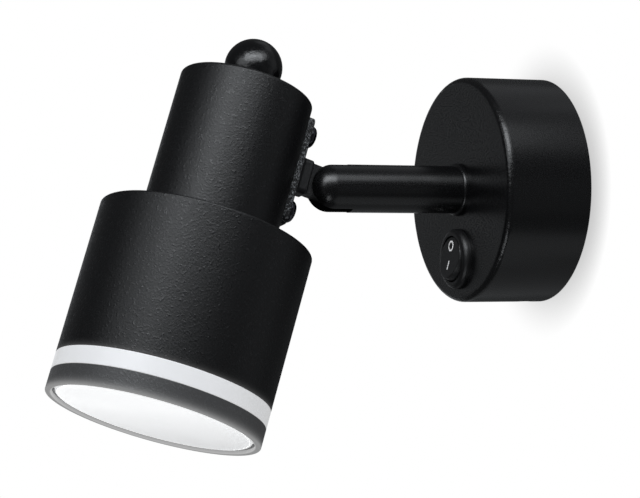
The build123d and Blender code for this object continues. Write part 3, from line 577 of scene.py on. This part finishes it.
def painted_casting(name):
    """Rough black casting: lumps in the bump, and a bumped torn edge on the strip with painted glints as pale
    specks.
    """
    material, tree, shader, place = start(name)
    lumps = add(tree, "ShaderNodeTexNoise", {"Vector": place, "Scale": 1 / CAST_WAVE, "Detail": 2.0})
    specks = add(tree, "ShaderNodeTexNoise", {"Vector": place, "Scale": 1 / SPECK})
    pale = add(tree, "ShaderNodeMapRange", {"Value": specks.outputs["Fac"], "From Min": SPECK_START,
                                            "From Max": SPECK_FULL})
    behind = add(tree, "ShaderNodeVectorMath", {0: place, 1: HEAD_BACK}, operation="DOT_PRODUCT")
    cup_back = head_origin @ HEAD_BACK + cup_r
    edge = add(tree, "ShaderNodeMapRange", {"Value": behind.outputs["Value"], "From Min": cup_back + EDGE_FAR,
                                            "From Max": cup_back + EDGE_NEAR})
    # The torn edge's mask drives both its bump and its painted glints.
    torn = add(tree, "ShaderNodeMath", {0: pale.outputs["Result"], 1: edge.outputs["Result"]},
               operation="MULTIPLY")
    colour = add(tree, "ShaderNodeMix", {"Factor": torn.outputs["Value"], "A": linear("#141415"),
                                         "B": linear("#77797b")}, data_type="RGBA")
    rough = add(tree, "ShaderNodeMapRange", {"Value": lumps.outputs["Fac"], "To Min": CAST_SMOOTH,
                                             "To Max": CAST_DULL})
    bump = add(tree, "ShaderNodeBump", {"Height": lumps.outputs["Fac"], "Distance": CAST_HEIGHT})
    grit = add(tree, "ShaderNodeBump", {"Height": torn.outputs["Value"], "Distance": TEAR_HEIGHT,
                                        "Normal": bump.outputs["Normal"]})
    feed(shader, {"Base Color": colour.outputs["Result"], "Roughness": rough.outputs["Result"],
                  "Specular IOR Level": COAT_SPECULAR, "Normal": grit.outputs["Normal"]})
    return material


# %% [markdown]
# The band is extruded milky acrylic and the lamp has a moulded opal face. Both scatter the lamp's light,
# so they glow by themselves rather than shade like paint. A little emission stands for that
# glow, and a very faint cloudiness keeps it from looking like a paper cut-out. The lamp's face is
# brightest on its outer side and dims towards the wall, and that fall is painted shade.

# %% Milky acrylic and the opal lamp face
CLOUD = 14.0 * MM
CLOUD_DEPTH = 0.06
DIM_FROM = -12.0 * MM
DIM_TO = 37.0 * MM
DIM_SIDEWAYS = 0.6
OPAL_IOR = 1.49
OPAL_INNER = 0.25
OPAL_DEPTH = 2.0 * MM
HEAD_RIGHT = HEAD[1][0]
painted_shade_way = unit(HEAD_BACK - DIM_SIDEWAYS * HEAD_RIGHT)


def opal(name, colour, rough, glow, dim=0.0):
    """Milky plastic lit from behind: soft gloss, light scattered inside, and a glow with faint clouds.
    The glow falls by the share dim across the head, a painted shade counted by the dot product with the way
    to dim."""
    material, tree, shader, place = start(name)
    cloud = add(tree, "ShaderNodeTexNoise", {"Vector": place, "Scale": 1 / CLOUD})
    shine = add(tree, "ShaderNodeMapRange", {"Value": cloud.outputs["Fac"],
                                             "To Min": (1 - CLOUD_DEPTH) * glow,
                                             "To Max": (1 + CLOUD_DEPTH) * glow}).outputs["Result"]
    # Painted shade: the glow darkens across the head towards the wall.
    if dim:
        across = add(tree, "ShaderNodeVectorMath", {0: place, 1: painted_shade_way}, operation="DOT_PRODUCT")
        axis_place = head_origin @ painted_shade_way
        fall = add(tree, "ShaderNodeMapRange", {"Value": across.outputs["Value"],
                                                "From Min": axis_place + DIM_FROM,
                                                "From Max": axis_place + DIM_TO,
                                                "To Min": 1.0, "To Max": 1 - dim})
        shine = add(tree, "ShaderNodeMath", {0: shine, 1: fall.outputs["Result"]},
                    operation="MULTIPLY").outputs["Value"]
    feed(shader, {"Base Color": linear(colour), "Roughness": rough, "IOR": OPAL_IOR,
                  "Subsurface Weight": OPAL_INNER, "Subsurface Scale": OPAL_DEPTH,
                  "Subsurface Radius": (1.0, 1.0, 1.0),
                  "Emission Color": linear("#ffffff"), "Emission Strength": shine})
    return material


# %% [markdown]
# The switch is moulded in black ABS with a spark-eroded grain, finer than the powder coat. The inner
# plastics are plain mouldings: a white terminal block and lamp holder, and natural nylon for the bush
# and the friction washers. They share one network with different numbers.

# %% Moulded plastics and rubber
MOULD_GRAIN = 0.5 * MM
MOULD_SWING = 0.06
MOULD_IOR = 1.53


def moulded(name, colour, rough, grain_height, inner=0.0):
    """Injection moulding: the tool's eroded grain as a fine bump, and a roughness that follows it.
    The share inner of the light is scattered below the surface."""
    material, tree, shader, place = start(name)
    grain = add(tree, "ShaderNodeTexNoise", {"Vector": place, "Scale": 1 / MOULD_GRAIN, "Detail": 2.0})
    dull = add(tree, "ShaderNodeMapRange", {"Value": grain.outputs["Fac"], "To Min": rough - MOULD_SWING,
                                            "To Max": rough + MOULD_SWING})
    bump = add(tree, "ShaderNodeBump", {"Height": grain.outputs["Fac"], "Distance": grain_height})
    feed(shader, {"Base Color": linear(colour), "Roughness": dull.outputs["Result"], "IOR": MOULD_IOR,
                  "Subsurface Weight": inner, "Subsurface Scale": MM, "Normal": bump.outputs["Normal"]})
    return material


# %% [markdown]
# Fasteners and inner hardware are plated or bare metal. Plating leaves a fine frosty bloom, and handling
# leaves duller patches, so one noise drives the bump and a wider one the roughness. Metals keep the
# default IOR, because their colour alone sets what they reflect.

# %% Plated and bare metals
BLOOM = 0.4 * MM
BLOOM_HEIGHT = 0.003 * MM
HANDLING = 5.0 * MM


def metal(name, colour, smooth, dull):
    """Plated metal: frosty bloom in the bump, handled patches in the roughness."""
    material, tree, shader, place = start(name)
    bloom = add(tree, "ShaderNodeTexNoise", {"Vector": place, "Scale": 1 / BLOOM, "Detail": 2.0})
    handled = add(tree, "ShaderNodeTexNoise", {"Vector": place, "Scale": 1 / HANDLING})
    rough = add(tree, "ShaderNodeMapRange", {"Value": handled.outputs["Fac"], "From Min": NOISE_LOW,
                                             "From Max": NOISE_HIGH, "To Min": smooth, "To Max": dull})
    bump = add(tree, "ShaderNodeBump", {"Height": bloom.outputs["Fac"], "Distance": BLOOM_HEIGHT})
    feed(shader, {"Base Color": linear(colour), "Metallic": 1.0, "Roughness": rough.outputs["Result"],
                  "Normal": bump.outputs["Normal"]})
    return material


# %% [markdown]
# All finishes are mixed in one place, like the colour card of the lamp. Most are named as the record's
# slots are, and a few variants follow the pieces that wear them. The drum glows only in its last
# millimetres above the band, and the ring over its whole height and on the wall that faces the lamp.

# %% Mix every finish of the lamp
SATIN = (0.22, 0.32, 0.004 * MM, 0.0006 * MM)
RUBBED = (0.16, 0.26, 0.10 * MM, 0.04 * MM)
COAT_BLACK = ("#0d0d0e", "#171718")
COAT_GREY = ("#2c2d2f", "#3a3b3d")
# The next three rows are painted light: they set where and how strongly the drum and the ring glow.
beside_band = (drum_low, 6.0 * MM, 0.0, 0.05)
beside_lamp = (ring_low, ring_top - ring_low, 0.028, 0.26)
facing_lamp = (ring_r - RING_RIM_W + 0.1 * MM, 0.5 * MM, 0.20)
finishes = {
    "satin_black": satin_enamel("satin_black_enamel", *SATIN),
    "base_black": satin_enamel("satin_black_enamel_on_the_base", *SATIN, uneven_edge=True),
    "ball_black": satin_enamel("satin_black_enamel_on_the_ball", *RUBBED),
    "textured_black": powder_coat("textured_black_powder_coat", *COAT_BLACK),
    "lit_black": powder_coat("textured_black_with_painted_glow_by_the_band", *COAT_BLACK, beside_band),
    "cast_black": painted_casting("black_painted_casting"),
    "ring_grey": powder_coat("dark_grey_satin_paint_with_painted_glow", *COAT_GREY, beside_lamp, facing_lamp),
    "milky_acrylic": opal("milky_acrylic", "#a2a4a8", 0.28, 0.50),
    "lamp_face": opal("opal_lamp_face", "#f4f5f6", 0.35, 0.74, dim=0.36),
    # The white lamp body and the printed ink are no lamps: their faint glow is painted light.
    "lamp_white": opal("white_polycarbonate_with_painted_glow", "#f2f3f3", 0.38, 0.45),
    "white_ink": opal("white_pad_printing_ink_with_painted_glow", "#ffffff", 0.45, 0.25),
    "switch_black": moulded("black_abs", "#0b0b0c", 0.44, 0.003 * MM),
    "white_plastic": moulded("white_polyamide", "#e9e7e1", 0.45, 0.004 * MM, inner=0.1),
    "nylon": moulded("natural_nylon", "#e2ddcf", 0.42, 0.004 * MM, inner=0.2),
    "black_rubber": moulded("black_rubber", "#161617", 0.72, 0.010 * MM),
    "black_zinc": metal("black_zinc_plate", "#4a4a4f", 0.10, 0.18),
    "zinc_steel": metal("bright_zinc_plate", "#b4b8bc", 0.24, 0.42),
    "spring_steel": metal("blued_spring_steel", "#6b6f76", 0.25, 0.40),
    "brass": metal("turned_brass", "#c39d55", 0.22, 0.36),
}
print(len(finishes), "finishes")

# %% [markdown]
# Every piece, new or carried over from CAD, belongs to one slot of the record, so one loop dresses them
# all. A CAD node's material slot still has the record's name, and a new piece was told its own.
# A few pieces wear a variant of their slot's finish, and those are named apart.

# %% Dress every piece by its slot
variants = {"base_cup": "base_black", "ball_nut": "ball_black", "drum_shell": "lit_black",
            "tilt_bracket": "cast_black", "off_mark": "white_ink", "on_mark": "white_ink"}
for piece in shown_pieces():
    slot_name = variants.get(piece.name) or piece.get("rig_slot") or piece.material_slots[0].material.name
    if piece.data.materials:
        piece.material_slots[0].material = finishes[slot_name]
    else:
        piece.data.materials.append(finishes[slot_name])

# %% [markdown]
# The lamp hangs on a wall, so the stage is a white room: a wall board right behind the base, a pale floor
# well below, and the sides far away, also behind the wall. The boards are clear from their backs, so
# that the back of the lamp can be looked at through the wall. They glow white by themselves and
# neither light the lamp nor show in its paint. Where the base comes close, the board darkens as a
# real wall does in a corner that light can't reach, and that draws the soft shadow. The light comes
# from the left, so a point of the board looks for obstacles mostly on its left.

# %% The white room
ROOM_SIDE = 2.5
ROOM_DEPTH = 4.0
ROOM_TOP = 3.0
FLOOR_DROP = 0.40
WALL_GAP = 0.2 * MM
SHADOW_REACH = 15 * MM
SHADOW_LOOK = unit([-1.0, -0.6, 0.05])
SHADOW_DEEPEST = 0.34
SHADOW_SAMPLES = 16


def board_paint(name, colour):
    """White board: glows in its own colour, darker where something stands close, clear from behind."""
    material, tree, shader, _ = start(name)
    tree.nodes.remove(shader)
    side = add(tree, "ShaderNodeNewGeometry", {})
    look = add(tree, "ShaderNodeCombineXYZ", dict(zip("XYZ", SHADOW_LOOK.tolist())))
    nook = add(tree, "ShaderNodeAmbientOcclusion",
               {"Distance": SHADOW_REACH, "Normal": look.outputs["Vector"]}, samples=SHADOW_SAMPLES)
    shade = add(tree, "ShaderNodeMapRange", {"Value": nook.outputs["AO"], "To Min": SHADOW_DEEPEST})
    glow = add(tree, "ShaderNodeEmission", {"Color": linear(colour), "Strength": shade.outputs["Result"]})
    clear = add(tree, "ShaderNodeBsdfTransparent", {})
    both = add(tree, "ShaderNodeMixShader", {0: side.outputs["Backfacing"], 1: glow.outputs["Emission"],
                                             2: clear.outputs["BSDF"]})
    feed(tree.nodes["Material Output"], {"Surface": both.outputs["Shader"]})
    return material


room_corners = [(x, y, z) for y in (-ROOM_DEPTH, ROOM_DEPTH, WALL_GAP) for z in (-FLOOR_DROP, ROOM_TOP)
                for x in (-ROOM_SIDE, ROOM_SIDE)]
floor, wall_board = (0, 1, 5, 4), (8, 9, 11, 10)
far_sides = [(4, 5, 7, 6), (1, 0, 2, 3), (0, 4, 6, 2), (5, 1, 3, 7), (3, 2, 6, 7)]
room_mesh = bpy.data.meshes.new("white_room")
room_mesh.from_pydata(room_corners, [], [floor, *far_sides, wall_board])
room_mesh.materials.append(board_paint("wall_board", "#ffffff"))
room_mesh.materials.append(board_paint("floor_board", "#f0f0f0"))
room_mesh.polygons[0].material_index = 1
white_room = bpy.data.objects.new("white_room", room_mesh)
bpy.context.scene.collection.objects.link(white_room)
white_room.visible_diffuse = False
white_room.visible_glossy = False
white_room.visible_shadow = False
print("white room of", len(room_mesh.polygons), "boards")

# %% [markdown]
# Black paint is shown by what it reflects. The photograph's reflections tell where its lamps stood: a
# row of soft boxes above and in front of the lamp, from the left round to the right, and one below.
# The rest is the pale wall, which sends some of that light back: dim panels stand for it, and the
# tall one beside the wall draws the light line along the arm. All of them are slightly cool. A lamp's
# brightness is what a reflection shows, so each one is given by its brightness, and its power
# follows from its area.

# %% Light and surroundings
CENTRE = np.array([0.0, -0.09, -0.02])
SURROUND = 0.06
DAYLIGHT = linear("#f7fbff")


def toward(azimuth, elevation):
    """Unit vector from the lamp to a place round it; azimuth 0 is straight out of the wall."""
    a, e = math.radians(azimuth), math.radians(elevation)
    return np.array([math.sin(a) * math.cos(e), -math.cos(a) * math.cos(e), math.sin(e)])


def soft_box(name, azimuth, elevation, distance, width, height, brightness):
    """A rectangular lamp facing the object; an even lamp's power is pi * area * brightness."""
    light = bpy.data.lights.new(name, "AREA")
    light.shape = "RECTANGLE"
    light.size, light.size_y = width, height
    light.energy = math.pi * width * height * brightness
    light.color = DAYLIGHT[:3]
    lamp = bpy.data.objects.new(name, light)
    bpy.context.scene.collection.objects.link(lamp)
    aim = toward(azimuth, elevation)
    lamp.location = CENTRE + distance * aim
    lamp.rotation_mode = "QUATERNION"
    lamp.rotation_quaternion = Vector(aim).to_track_quat("Z", "Y")
    lamp.visible_camera = False
    print(name, round(light.energy, 1), "W")
    return lamp


soft_box("front_box", 46, 44, 0.60, 0.33, 0.30, 4.3)
soft_box("right_box", 87, 45, 0.60, 0.32, 0.29, 3.6)
soft_box("near_box", 24, 28, 0.40, 0.30, 0.20, 1.6)
soft_box("top_box", 85, 54, 0.42, 0.50, 0.20, 1.8)
soft_box("low_box", 45, -48, 0.90, 0.50, 0.30, 2.4)
soft_box("wall_bounce", 155, 0, 0.60, 0.40, 0.75, 0.22)
soft_box("high_bounce", 155, 48, 0.90, 0.80, 0.50, 0.16)
soft_box("right_card", 115, -5, 0.90, 0.40, 0.50, 0.07)
soft_box("high_left_bounce", -150, 55, 0.90, 0.60, 0.40, 0.20)
soft_box("low_bounce", 130, -52, 0.90, 0.50, 0.50, 0.32)
soft_box("low_left_bounce", -150, -55, 0.30, 0.35, 0.25, 0.14)
soft_box("left_card", -100, -5, 0.90, 0.60, 0.60, 0.44)
soft_box("side_card", -65, 0, 0.90, 0.40, 0.45, 0.10)

world = bpy.data.worlds.new("dim_studio")
bpy.context.scene.world = world
world.use_nodes = True
feed(world.node_tree.nodes["Background"], {"Color": DAYLIGHT, "Strength": SURROUND})

# %% [markdown]
# The camera stands far out along the wall, level with the lamp, with a long lens. Its direction, distance
# and lens were fitted to the outlines of the base, arm, drum and ball in the photograph.

# %% The camera
CAMERA_AZIMUTH = 67.32
CAMERA_ELEVATION = -0.14
CAMERA_DISTANCE = 0.9434
CAMERA_TARGET = np.array([-0.01204, -0.08866, -0.02321])
LENS = 136.75
SENSOR = 36.0

camera_data = bpy.data.cameras.new("camera")
camera_data.lens = LENS
camera_data.sensor_width = SENSOR
camera_data.sensor_fit = "HORIZONTAL"
camera = bpy.data.objects.new("camera", camera_data)
bpy.context.scene.collection.objects.link(camera)
camera_back = toward(CAMERA_AZIMUTH, CAMERA_ELEVATION)
camera.location = CAMERA_TARGET + CAMERA_DISTANCE * camera_back
camera.rotation_mode = "QUATERNION"
camera.rotation_quaternion = Vector(camera_back).to_track_quat("Z", "Y")
bpy.context.scene.camera = camera
bpy.context.scene.view_settings.view_transform = "Standard"
print("camera at", np.round(CAMERA_TARGET + CAMERA_DISTANCE * camera_back, 3), "with a lens of", LENS, "mm")
